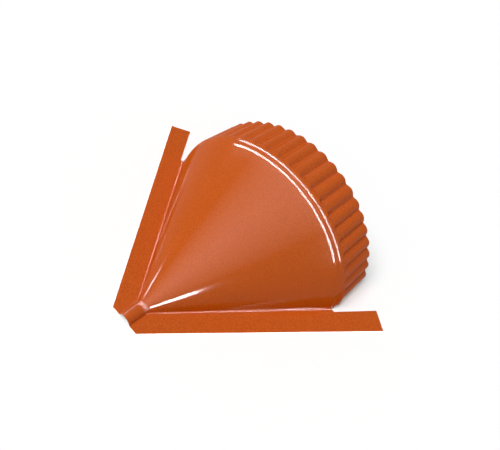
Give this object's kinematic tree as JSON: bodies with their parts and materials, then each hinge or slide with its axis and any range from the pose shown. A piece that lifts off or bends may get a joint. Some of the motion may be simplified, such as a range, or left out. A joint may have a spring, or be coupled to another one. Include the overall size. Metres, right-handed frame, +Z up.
{
  "type": "ridge end cap",
  "caption": "Conical sheet-metal end cap for a half-round roof ridge, with a crimped collar that enters the ridge and flat side flanges that lie on the roof.",
  "frame": {"origin": "on the middle plane of the cap, at the rim where the hood meets the collar, level with the underside of the flanges", "axes": "+X across the ridge, +Y along the ridge and out of the collar, +Z up"},
  "size_m": [0.3044, 0.2035, 0.0904],
  "materials": {
    "coated_steel": "satin copper-brown coil coating on galvanised steel"
  },
  "bodies": {
    "root": {"ridge_end_cap": "coated_steel"}
  },
  "joints": []
}
